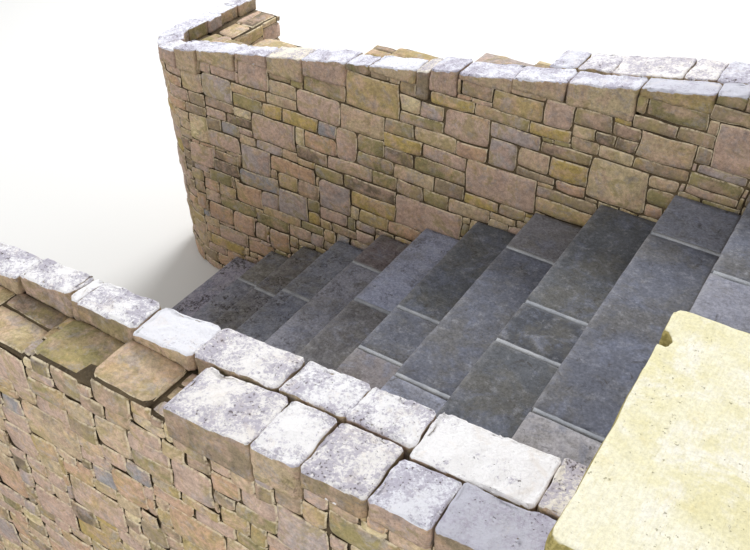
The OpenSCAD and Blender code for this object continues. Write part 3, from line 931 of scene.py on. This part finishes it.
def merged_copy(node, flat=True):
    """A bmesh of a CAD node with its loose triangles welded, and joined to flat faces if asked."""
    work = bmesh.new()
    work.from_mesh(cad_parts[node].data)
    bmesh.ops.remove_doubles(work, verts=work.verts, dist=0.00002)
    if flat:
        bmesh.ops.dissolve_limit(work, angle_limit=math.radians(0.5), verts=work.verts, edges=work.edges)
    return work


def solids(work):
    """Splits a bmesh into its separate solids, each a bmesh of its own, ordered along the flight."""
    work.verts.ensure_lookup_table()
    seen = set()
    groups = []
    for vert in work.verts:
        if vert.index in seen:
            continue
        group, front = set(), [vert]
        while front:
            here = front.pop()
            if here.index in group:
                continue
            group.add(here.index)
            front += [edge.other_vert(here) for edge in here.link_edges]
        seen |= group
        groups.append(group)
    found = []
    for group in groups:
        solid = work.copy()
        solid.verts.ensure_lookup_table()
        bmesh.ops.delete(solid, geom=[v for v in solid.verts if v.index not in group], context="VERTS")
        found.append(solid)
    work.free()
    return sorted(found, key=lambda solid: (round(min(v.co.x for v in solid.verts), 3),
                                            min(v.co.y for v in solid.verts)))


def extent(solid):
    """The two corners of a solid's box."""
    corners = [v.co for v in solid.verts]
    low = Vector(min(c[axis] for c in corners) for axis in range(3))
    high = Vector(max(c[axis] for c in corners) for axis in range(3))
    return low, high


def slice_solid(solid, spacing):
    """Cuts a solid by even planes along each axis, so that its faces can take relief."""
    low, high = extent(solid)
    for axis in range(3):
        count = round((high[axis] - low[axis]) / spacing[axis])
        for i in range(1, count):
            spot = low.copy()
            spot[axis] += (high[axis] - low[axis]) * i / count
            normal = Vector((0, 0, 0))
            normal[axis] = 1
            geometry = solid.verts[:] + solid.edges[:] + solid.faces[:]
            bmesh.ops.bisect_plane(solid, geom=geometry, dist=0.0002, plane_co=spot, plane_no=normal)
    bmesh.ops.remove_doubles(solid, verts=solid.verts, dist=min(spacing) * 0.12)


def soften(solid, offset, sharp):
    """Bevels the edges of a solid that are sharper than an angle in degrees."""
    edges = [e for e in solid.edges if e.is_manifold and e.calc_face_angle() > math.radians(sharp)]
    bmesh.ops.bevel(solid, geom=edges, offset=offset, offset_type="OFFSET", segments=2, profile=0.5,
                    affect="EDGES", clamp_overlap=True, material=-1)


def marked(solid, **marks):
    """Writes the marks that the finishes read: each is a number, or gives one for each point."""
    for name, value in marks.items():
        layer = solid.verts.layers.float.new(name)
        for vert in solid.verts:
            vert[layer] = value(vert.co) if callable(value) else value


def eased(solid):
    """Rounds the arrises of a sliced solid by averaging neighbouring points."""
    bmesh.ops.smooth_vert(solid, verts=solid.verts, factor=0.5, use_axis_x=True, use_axis_y=True,
                          use_axis_z=True)


def kept_inside(solid, node):
    """Keeps all points within the box of a CAD node."""
    low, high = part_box(node)
    for vert in solid.verts:
        for axis in range(3):
            vert.co[axis] = clamp(vert.co[axis], low[axis], high[axis])


def roughened(solid, depth, seed, bias):
    """Moves each point along its normal by the broken surface of split stone, less a bias."""
    solid.normal_update()
    moved([(v, v.normal * depth * (rough(v.co, seed) - bias)) for v in solid.verts])


def mortar_body(node):
    """The body of a wall behind its stones: the solid with its upright faces drawn in."""
    work = merged_copy(node)
    work.normal_update()
    moves = []
    for vert in work.verts:
        sides = []
        for face in vert.link_faces:
            flat = Vector((face.normal.x, face.normal.y, 0)).normalized()
            if abs(face.normal.z) < 0.5 and all(flat.dot(other) < 0.95 for other in sides):
                sides.append(flat)
        if len(sides) == 1:
            moves.append((vert, -sides[0] * MORTAR_DEPTH))
        elif len(sides) == 2:
            first, second = sides
            moves.append((vert, -(first + second) * MORTAR_DEPTH / (1 + first.dot(second))))
    moved(moves)
    bmesh.ops.triangulate(work, faces=work.faces[:])
    return faced_mesh(work)


# Walls

# How far a stone must lie behind and below the treads to be left away
HIDDEN_LAP, HIDDEN_DROP = 0.03, 0.004

# Where the stretch with plainer stones starts, after the corner, and ends, before the outer face
PLAIN_AFTER, PLAIN_BEFORE = 1.0, 0.3

# Lengths of the stones on an open bed, and the least that may be left at its end
BED_LENGTHS = (0.15, 0.27)
LEAST_BED, LEAST_REST = 0.14, 0.10

# How far the open beds at the foot reach under the coping that turns
TURN_LAP_X, TURN_LAP_Y = 0.08, 0.03


def bed_steps(node):
    """Beds of a row of coping stones along the wall: start, end, height and outer side of each."""
    stones = [extent(solid) for solid in solids(merged_copy(node))]
    ends = [min(stones, key=lambda s: s[0].x)[0].x]
    ends += [(a[1].x + b[0].x) / 2 for a, b in zip(stones, stones[1:])]
    ends.append(PIER_X)
    return [(start, end, low.z, max(abs(low.y), abs(high.y)))
            for start, end, (low, high) in zip(ends, ends[1:], stones)]


def wall_line(side, turn_bed):
    """The line of one wall's faces, and where on it the outer face starts. It goes along the stair
    face, round the corner, round the return, and back along the outer face."""
    line = FaceLine((PIER_X, HALF_WIDTH), 180, mirrored=side == "near")
    line.ahead(STRAIGHT)
    line.bend(CORNER_REACH, FOOT_RADIUS, TOP_RADIUS, turn_bed)
    line.ahead(RETURN_END - HALF_WIDTH - CORNER_REACH)
    line.turn(-90)
    line.ahead(WALL_DEPTH)
    line.turn(-90)
    line.ahead(RETURN_END - HALF_WIDTH - WALL_DEPTH)
    line.turn(90)
    outer = line.length
    line.ahead(PIER_X - OUTER_X)
    return line, outer


def wall_meshes(side, rng):
    """The stones of one wall: those of its faces, and of the open beds on its top."""
    front = bed_steps(f"{side}_coping_front")
    front[0] = (FOOT_X + CORNER_REACH, *front[0][1:])
    back = bed_steps(f"{side}_coping_back")
    back_start = back[0][0]
    turn_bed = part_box(f"{side}_return")[1].z
    line, outer = wall_line(side, turn_bed)
    ledge = [(x0, min(x1, back_start), z, y) for x0, x1, z, y in front if x0 < back_start - 0.001]
    tops = [(PIER_X - x1, PIER_X - x0, z) for x0, x1, z, _ in reversed(front)]
    tops.append((STRAIGHT, outer + CORNER_REACH - WALL_DEPTH, turn_bed))
    tops += [(outer + x0 - OUTER_X, outer + x1 - OUTER_X, z) for x0, x1, z, _ in ledge + back]
    given = []
    if side == "far":
        given = [(PIER_X - x1 / 100, PIER_X - x0 / 100, z0 / 100, z1 / 100, letter)
                 for x0, x1, z0, z1, letter in FAR_STONES]

    def hidden(u0, u1, z1):
        """Behind the treads."""
        return u0 <= STRAIGHT and z1 < step_top(PIER_X - min(u1, STRAIGHT) - HIDDEN_LAP) - HIDDEN_DROP

    def plain(u):
        """Past the corner: the whole rest of the far wall, and the near wall's return."""
        return u > STRAIGHT + PLAIN_AFTER and (side == "far" or u < outer - PLAIN_BEFORE)

    face = RubbleFace(line, 0.0, tops, rng, given)
    meshes = rubble_meshes(face, rng, hidden, lambda u: clamp(u / STRAIGHT) ** 2, plain)
    for bed, width in top_beds(side, ledge, turn_bed):
        face = RubbleFace(bed, 0.0, [(0.0, bed.length, width)], rng, flat_stones(bed.length, width, rng))
        meshes += rubble_meshes(face, rng)
    return meshes


def flat_stones(length, width, rng):
    """Stones for an open bed: each spans it, or shares its width with another."""
    stones = []
    u = 0.0
    while length - u > LEAST_BED:
        end = u + rng.uniform(*BED_LENGTHS)
        end = end if length - end > LEAST_REST else length
        split = round(width * rng.uniform(0.35, 0.65) / COURSE) * COURSE
        parts = [(0.0, width)] if rng.random() < 0.4 else [(0.0, split), (split, width)]
        stones += [(u, end, z0, z1, pick_letter(rng, z1 - z0, PLAIN_WARMTH)) for z0, z1 in parts]
        u = end
    return stones


def top_beds(side, ledge, turn_bed):
    """The level beds that lie open behind the coping of a wall, with the width of each."""
    mirrored = side == "near"
    last = HALF_WIDTH + WALL_DEPTH - LEDGE_SHY
    beds = []
    for x0, x1, z, outer_y in ledge:
        start = outer_y - LEDGE_TUCK
        bed = TopBed((x0 - LEDGE_LAP, start), x1 - x0, z + LEDGE_RISE, mirrored=mirrored)
        beds.append((bed, last - start))
    width = last - HALF_WIDTH - COPING_DEPTH
    start = (FOOT_X + FOOT_BEND - TURN_LAP_X, HALF_WIDTH + COPING_DEPTH)
    length = FOOT_X + CORNER_REACH - LEDGE_LAP - start[0]
    beds.append((TopBed(start, length, turn_bed + LEDGE_RISE, mirrored=mirrored), width))
    start = (FOOT_X + COPING_DEPTH, HALF_WIDTH + FOOT_BEND - TURN_LAP_Y)
    length = RETURN_END - LEDGE_SHY - start[1]
    beds.append((TopBed(start, length, turn_bed + LEDGE_RISE, along_y=True, mirrored=mirrored), width))
    return beds


def build_wall(side, finishes):
    nodes = [f"{side}_wall", f"{side}_corner", f"{side}_return"]
    meshes = wall_meshes(side, seeded(side, "wall"))
    joined(f"{side}_wall_stones", meshes, finishes["rubble"], "wall_stone", *nodes)
    joined(f"{side}_wall_mortar", [mortar_body(node) for node in nodes], finishes["joint"], "mortar")


def build_pier(side, finishes):
    """A pier, its line walked from the middle of the face that the wall runs into."""
    node = f"{side}_pier"
    middle = HALF_WIDTH + WALL_DEPTH / 2
    width = PIER_HIGH.x - PIER_LOW.x
    line = FaceLine((PIER_X, middle), 90, mirrored=side == "near")
    line.ahead(PIER_HIGH.y - middle)
    for length in (width, width, width, middle - PIER_LOW.y):
        line.turn(-90)
        line.ahead(length)
    stair_from = PIER_HIGH.y - middle + 2 * width

    def hidden(u0, u1, z1):
        """Behind the top tread."""
        return stair_from < u0 and u1 < stair_from + width and z1 < STEPS[-2][1].z

    rng = seeded(side, "pier")
    face = RubbleFace(line, 0.0, [(0.0, line.length, PIER_HIGH.z)], rng)
    meshes = rubble_meshes(face, rng, hidden)
    joined(f"{node}_stones", meshes, finishes["rubble"], "pier_stone", node)
    joined(f"{node}_mortar", [mortar_body(node)], finishes["joint"], "mortar")


# Tone, wear and side colour of the coping stones that show best, from the foot end up. Tones near 1 give
# bluish grey tops, which are painted shade, and wear raises the lilac-grey patches, which are partly
# painted shade
LOOKS = {
    "near_front": [
        (0.55, 0.5, "B"), (0.62, 0.6, "T"), (0.5, 0.5, "B"), (0.6, 0.7, "T"), (0.55, 0.6, "P"),
        (0.60, 0.1, "B"), (0.58, 0.7, "B"), (0.74, 0.0, "T"), (0.45, 0.65, "B"), (0.62, 0.62, "T"),
        (0.6, 0.62, "P"), (0.58, 0.0, "B"), (0.20, 0.6, "T")],
    "near_back": [
        (0.40, 0.62, "B"), (0.55, 0.55, "T"), (0.42, 0.66, "B"), (0.78, 0.9, "P"), (0.95, 0.5, "B")],
    "far_front": [
        (0.83, 0.6, "T"), (0.80, 0.7, "P"), (0.10, 0.6, "T"), (0.82, 0.7, "P"), (0.84, 0.5, "O"),
        (0.82, 0.4, "T"), (0.14, 0.7, "B"), (0.84, 0.6, "P"), (0.82, 0.7, "T"), (0.80, 0.8, "T"),
        (0.83, 0.8, "F"), (0.91, 0.3, "C"), (0.93, 0.2, "O"), (0.84, 0.6, "B")],
    "far_back": [
        (0.85, 0.6, "T"), (0.5, 0.5, "T"), (0.35, 0.6, "T"), (0.35, 0.7, "B"), (0.84, 0.7, "T"),
        (0.82, 0.8, "T")],
}
SIDE_LETTERS = "BTTPCOPL"
FLAKE_DEPTH, SIDE_DEPTH = 0.014, 0.009
CAP_POINTS, CAP_RELIEF = (0.013, 0.013, 0.011), 0.0028


def riven(point, seed):
    """The flaked surface of a split bed, mostly between 0 and 1."""
    flake = 1 - 2 * abs(ripple(point, 0.060, seed))
    chip = 1 - 2 * abs(ripple(point, 0.024, seed + 5))
    return 0.45 * ripple(point, 0.110, seed + 3) + 0.40 * flake + 0.24 * chip


def split_surface(solid, seed):
    """Gives a coping stone its flaked top and its rough sides, which nearly fill the joints."""
    low, high = extent(solid)
    middle, half = (low + high) / 2, (high - low) / 2
    for vert in solid.verts:
        for axis in (0, 1):
            vert.co[axis] += COPING_SPREAD[axis] * (vert.co[axis] - middle[axis]) / half[axis]
    solid.normal_update()
    moves = []
    for vert in solid.verts:
        top = clamp(1.5 * vert.normal.z - 0.3)
        depth = (top * FLAKE_DEPTH * (riven(vert.co, seed) - 0.75)
                 + (1 - top) * SIDE_DEPTH * (rough(vert.co, seed) + 0.06))
        moves.append((vert, vert.normal * depth))
    moved(moves)


def build_coping(side, row, finishes):
    """A row of coping stones. Those without a look of their own draw one."""
    node = f"{side}_coping_{row}"
    looks = LOOKS.get(f"{side}_{row}", ())
    meshes = []
    for index, solid in enumerate(solids(merged_copy(node, flat=False))):
        rng = seeded(node, index)
        slice_solid(solid, (COPING_POINTS[side],) * 3)
        split_surface(solid, rng.uniform(0, 90))
        kept_inside(solid, node)
        own_look = (rng.uniform(0.72, 0.86), rng.uniform(0.3, 0.8), rng.choice(SIDE_LETTERS))
        tone, worn, letter = looks[index] if index < len(looks) else own_look
        marked(solid, tone=tone, worn=worn, side=tone_of(letter))
        meshes.append(faced_mesh(solid))
    joined(f"{node}_stones", meshes, finishes["coping"], "coping_stone", node)


def build_cap(side, finishes):
    node = f"{side}_pier_cap"
    solid = merged_copy(node, flat=False)
    slice_solid(solid, CAP_POINTS)
    eased(solid)
    roughened(solid, CAP_RELIEF, 5.0 if side == "near" else 40.0, 0.3)
    kept_inside(solid, node)
    joined(f"{node}_slab", [faced_mesh(solid)], finishes["cap"], "cap_stone", node)


# Flight

# Colours of the slabs of each tread, the lowest tread first, from the near wall to the far wall. They are
# partly the slabs' own colours and partly painted shade: lighter low down, darker up the flight where the
# treads lie in shade
SLABS = ["LLL", "NNO", "AMD", "WAA", "MNV", "WGB", "WSK", "BSM", "KHK", "PSA", "NNS", "SSS"]

# Slabs: the bevel of their edges, the spacing of their points, the depth of their waves, and how far
# wear reaches back from a nosing, the darker band at the back reaches out from under a riser, and mortar
# over a slab
SLAB_BEVEL, SLAB_POINTS, SLAB_RELIEF = 0.0025, (0.022, 0.026, 0.022), 0.0034
NOSE_WEAR, BACK_DARK_REACH, SMEAR_REACH = 0.030, 0.045, 0.016

# Pointing: how much wider than its joint, how far proud, the drop and place of its edge
POINTING_POINTS, POINTING_RELIEF = (0.012, 0.007, 0.020), 0.0012
POINTING_SPREAD, POINTING_SWAY = 1.55, 0.40
POINTING_RISE, POINTING_DROP, POINTING_EDGE = 0.0048, 0.0010, 0.006


def build_slabs(node, letters, dirt, behind, finishes):
    """The slabs of one tread, with worn nosings, the faint waves of split stone and a darker band at the
    back.
    """
    meshes = []
    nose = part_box(node)[0].x

    def worn(spot):
        return 1.0 - clamp((spot.x - nose) / NOSE_WEAR)

    def silt(spot):
        return clamp((spot.x - behind + BACK_DARK_REACH) / BACK_DARK_REACH) if behind else 0.0

    for index, solid in enumerate(solids(merged_copy(node))):
        rng = seeded(node, index)
        low, high = extent(solid)
        joints = [y for y in (low.y, high.y) if abs(y) < HALF_WIDTH - 0.05]

        def edge(spot):
            return 1.0 - clamp(min([abs(spot.y - y) for y in joints], default=1.0) / SMEAR_REACH)

        soften(solid, SLAB_BEVEL, 30)
        slice_solid(solid, SLAB_POINTS)
        roughened(solid, SLAB_RELIEF, rng.uniform(0, 90), 0.25)
        kept_inside(solid, node)
        marked(solid, tone=tone_of(letters[index], FLAGS), shift=rng.random(), worn=worn, silt=silt,
               dirt=dirt, edge=edge)
        meshes.append(faced_mesh(solid))
    joined(f"{node}_slabs", meshes, finishes["flagstone"], "flagstone", node)


def build_pointing(finishes):
    """Pale pointing, spread a little over the slabs on both sides of each joint."""
    meshes = []
    for index, solid in enumerate(solids(merged_copy("slab_mortar"))):
        slice_solid(solid, POINTING_POINTS)
        low, high = extent(solid)
        middle = (low.y + high.y) / 2
        for vert in solid.verts:
            if vert.co.z > high.z - 0.001:
                spread = POINTING_SPREAD + POINTING_SWAY * ripple((vert.co.x, index, 0.0), 0.03)
                vert.co.y = middle + (vert.co.y - middle) * spread
                vert.co.z += POINTING_RISE - POINTING_DROP * (abs(vert.co.y - middle) > POINTING_EDGE)
        roughened(solid, POINTING_RELIEF, index * 3.0, 0.5)
        kept_inside(solid, "slab_mortar")
        meshes.append(faced_mesh(solid))
    joined("slab_pointing", meshes, finishes["pointing"], "mortar", "slab_mortar")


def build_masonry(name, node, slot, line, heights, rng, finishes):
    """The stones of a straight face, from one height to another, and the mortar behind them."""
    face = RubbleFace(line, heights[0], [(0.0, line.length, heights[1])], rng)
    joined(f"{name}_stones", rubble_meshes(face, rng), finishes["rubble"], slot, node)
    joined(f"{node}_mortar", [mortar_body(node)], finishes["joint"], "mortar")


def build_riser(number, finishes):
    node = f"riser_{number:02d}"
    low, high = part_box(node)
    line = FaceLine((low.x, low.y), 90).ahead(high.y - low.y)
    build_masonry(node, node, "riser_stone", line, (low.z, high.z), seeded(node), finishes)


def build_flight_end(finishes):
    """The upper end of the flight, between the piers, faced like the walls."""
    line = FaceLine((CORE_HIGH.x, PIER_LOW.y), 270).ahead(2 * PIER_LOW.y)
    build_masonry("flight_end", "flight_core", "core_masonry", line, (0.0, CORE_HIGH.z),
                  seeded("flight end"), finishes)


# Studio

SKY_LIGHT = 0.60
FLOOR_SIZE = 30
FLOOR_COLOUR = (0.78, 0.78, 0.77, 1)

# Lamps: where each stands, its width and its power. All of them aim at one point on the steps
LAMPS = {
    "key_lamp": ((-2.6, 7.0, 7.6), 3.0, 820),
    "fill_lamp": ((1.0, -8.5, 5.0), 6.0, 330),
}
LAMP_AIM = (0, 0, 1.0)

# The photograph's view: where the camera stands, how it is turned in degrees, and its lens
CAMERA_SPOT = (1.5397, -2.2660, 3.4476)
HEADING, PITCH, ROLL = 31.80, 38.563, 1.0185
LENS, SENSOR = 42.32, 36.0


def build_sky():
    """Soft light all round, which looks white to the camera, in gloss and through clear things."""
    world = bpy.data.worlds.new("studio")
    bpy.context.scene.world = world
    world.use_nodes = True
    sky = Shade(world.node_tree)
    camera, gloss, clear = [sky.node("ShaderNodeLightPath", out=f"Is {ray} Ray")
                            for ray in ("Camera", "Glossy", "Transmission")]
    seen = sky.maths("MAXIMUM", sky.maths("MAXIMUM", camera, gloss), clear)
    strength = SKY_LIGHT + (1.0 - SKY_LIGHT) * seen
    backdrop = world.node_tree.nodes["Background"]
    world.node_tree.links.new(strength.socket, backdrop.inputs["Strength"])
    backdrop.inputs["Color"].default_value = (1, 1, 1, 1)


def build_floor():
    ground = bmesh.new()
    bmesh.ops.create_grid(ground, x_segments=1, y_segments=1, size=FLOOR_SIZE)
    mesh = as_mesh(ground, "floor")
    paint = bpy.data.materials.new("pale_floor")
    paint.use_nodes = True
    shader = paint.node_tree.nodes["Principled BSDF"]
    shader.inputs["Base Color"].default_value = FLOOR_COLOUR
    shader.inputs["Roughness"].default_value = 0.9
    mesh.materials.append(paint)
    placed("studio_floor", mesh)


def build_lamps():
    for name, (spot, size, power) in LAMPS.items():
        light = bpy.data.lights.new(name, "AREA")
        light.shape = "DISK"
        light.size = size
        light.energy = power
        lamp = placed(name, light)
        lamp.location = spot
        lamp.rotation_euler = (Vector(LAMP_AIM) - Vector(spot)).to_track_quat("-Z", "Y").to_euler()


def build_camera():
    """The camera stands where the photograph was taken, turned and tipped to its view."""
    lens = bpy.data.cameras.new("camera")
    lens.lens = LENS
    lens.sensor_width = SENSOR
    camera = placed("camera", lens)
    camera.matrix_world = (Matrix.Translation(CAMERA_SPOT)
                           @ Matrix.Rotation(math.radians(HEADING), 4, "Z")
                           @ Matrix.Rotation(math.pi / 2 - math.radians(PITCH), 4, "X")
                           @ Matrix.Rotation(math.radians(ROLL), 4, "Z"))
    bpy.context.scene.camera = camera


def main():
    finishes = {
        "rubble": rubble_finish(), "joint": joint_finish(), "coping": coping_finish(),
        "cap": cap_finish(), "flagstone": flagstone_finish(), "pointing": pointing_finish(),
    }
    for side in ("far", "near"):
        build_wall(side, finishes)
        build_pier(side, finishes)
        build_cap(side, finishes)
        for row in ("front", "back", "corner", "return"):
            build_coping(side, row, finishes)
    for k in range(1, TREADS + 1):
        # The dirt that lies on the slabs thins out up the flight
        build_slabs(f"tread_{k:02d}", SLABS[k - 1], clamp(1.4 - 0.15 * k), STEPS[k][0].x, finishes)
    build_slabs("landing", SLABS[-1], 0.0, None, finishes)
    for k in range(1, TREADS + 2):
        build_riser(k, finishes)
    build_pointing(finishes)
    build_flight_end(finishes)
    build_sky()
    build_floor()
    build_lamps()
    build_camera()
    bpy.context.scene.view_settings.view_transform = "Standard"


main()
